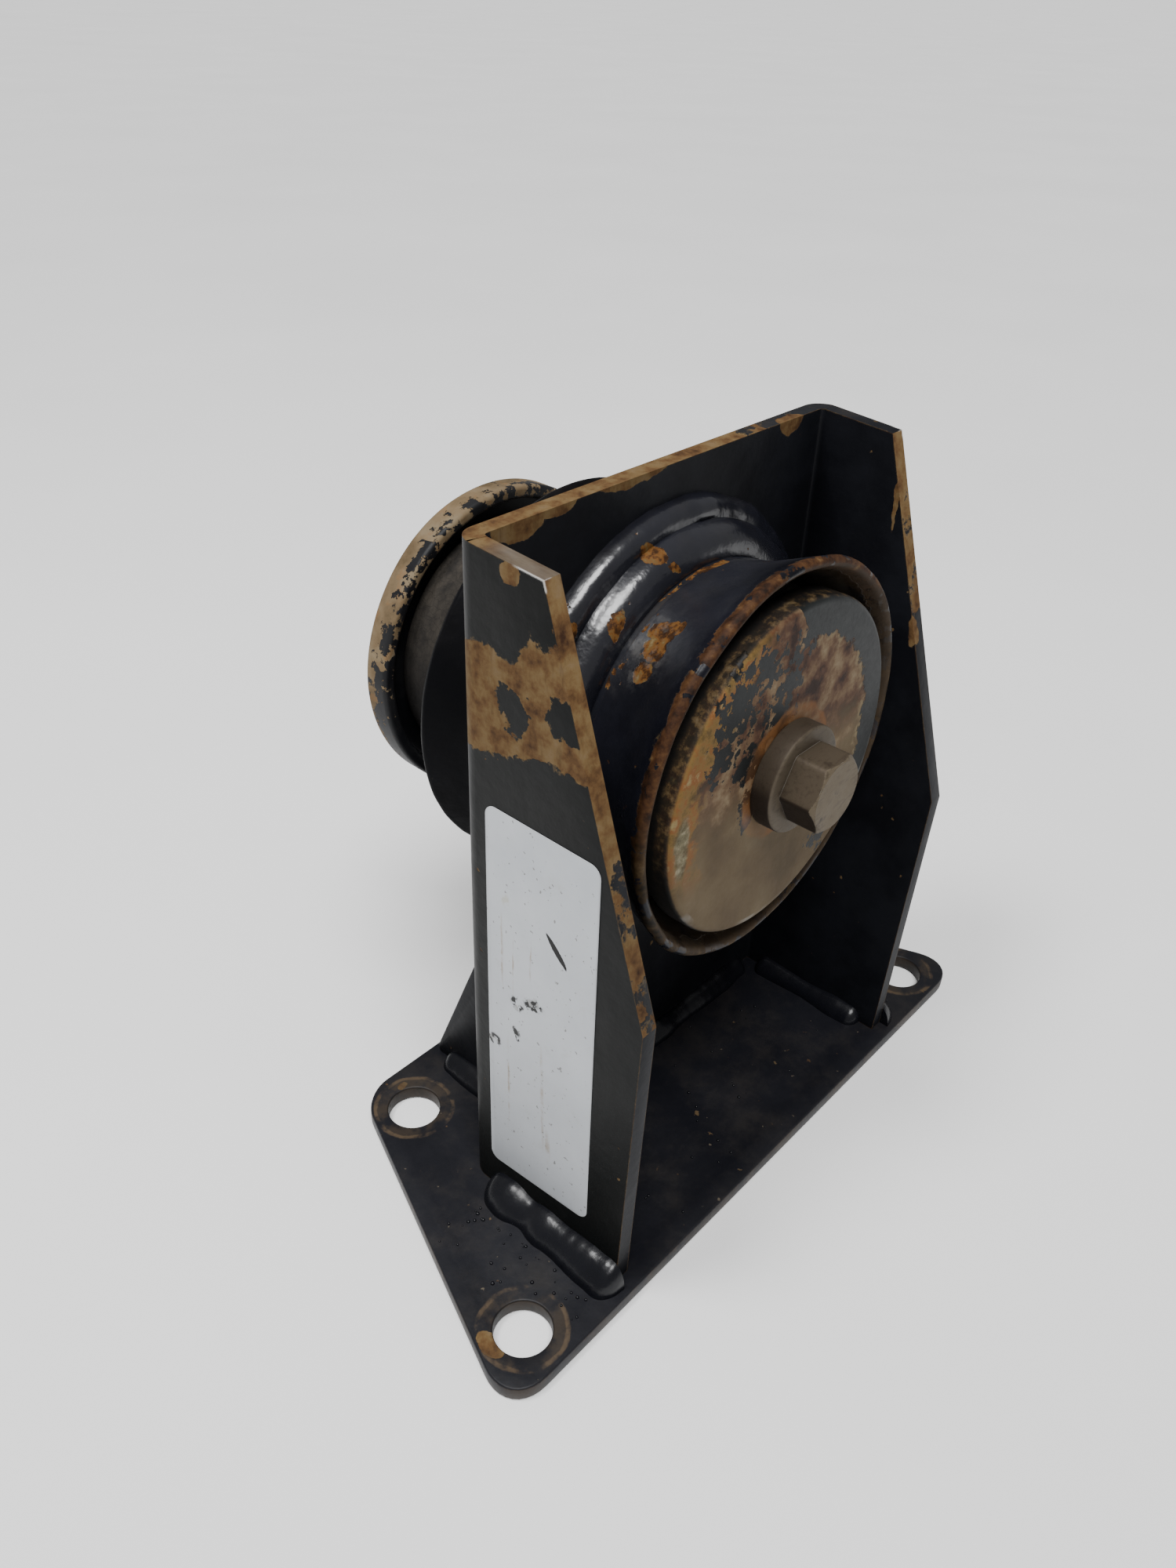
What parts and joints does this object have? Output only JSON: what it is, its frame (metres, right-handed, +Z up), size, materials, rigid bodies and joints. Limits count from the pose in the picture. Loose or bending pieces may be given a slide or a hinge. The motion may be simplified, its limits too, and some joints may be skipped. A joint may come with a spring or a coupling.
{
  "type": "engine mounting bracket",
  "caption": "Welded steel bracket with a bent channel upright carrying a horizontal bonded-rubber mount: flared barrel, snubber discs and a through bolt.",
  "frame": {"origin": "on the base plate's underside, on the centre line, below the web's front face", "axes": "+Z up, normal to the base plate; -Y is the front, where the bolt head is; +X along the web"},
  "size_m": [0.2778, 0.1903, 0.2565],
  "materials": {
    "black_paint": "satin black paint, worn and rusted",
    "painted_weld": "gloss black paint over weld beads",
    "rusty_cup": "black paint with a rust-brown lip",
    "rusty_disc": "dusty brown rust with flakes of dark paint",
    "fastener_steel": "dull rusted zinc",
    "core_steel": "dull steel",
    "rubber": "dusty matte rubber",
    "label_film": "scuffed pale film"
  },
  "bodies": {
    "bracket": {"base_plate": "black_paint", "upright_channel": "black_paint", "left_gusset": "black_paint", "right_gusset": "black_paint", "left_cheek_weld": "painted_weld", "right_cheek_weld": "painted_weld", "left_inner_weld": "painted_weld", "right_inner_weld": "painted_weld", "web_front_weld": "painted_weld", "web_rear_weld": "painted_weld", "left_gusset_weld": "painted_weld", "right_gusset_weld": "painted_weld", "housing_tube": "black_paint", "front_collar": "black_paint", "rear_collar": "black_paint", "front_ring_weld": "painted_weld", "rear_ring_weld": "painted_weld", "front_cup": "rusty_cup", "rear_cup": "rusty_cup", "label": "label_film"},
    "rubber": {"front_rubber": "rubber", "rear_rubber": "rubber"},
    "core": {"inner_sleeve": "core_steel", "front_inner_cone": "core_steel", "rear_inner_cone": "core_steel", "front_snubber_disc": "rusty_disc", "rear_snubber_disc": "rusty_disc", "front_washer": "fastener_steel", "rear_washer": "fastener_steel", "centre_bolt": "fastener_steel", "lock_nut": "fastener_steel"}
  },
  "joints": [
    {"name": "radial_give", "type": "slide", "parent": "bracket", "child": "rubber", "axis": [0, 0, 1], "range_m": [-0.0025, 0.0025], "stiffness_N_per_m": 60000, "deforming": ["front_rubber", "rear_rubber"]},
    {"name": "axial_give", "type": "slide", "parent": "rubber", "child": "core", "axis": [0, 1, 0], "range_m": [-0.003, 0.003], "stiffness_N_per_m": 60000, "deforming": ["front_rubber", "rear_rubber"]}
  ]
}
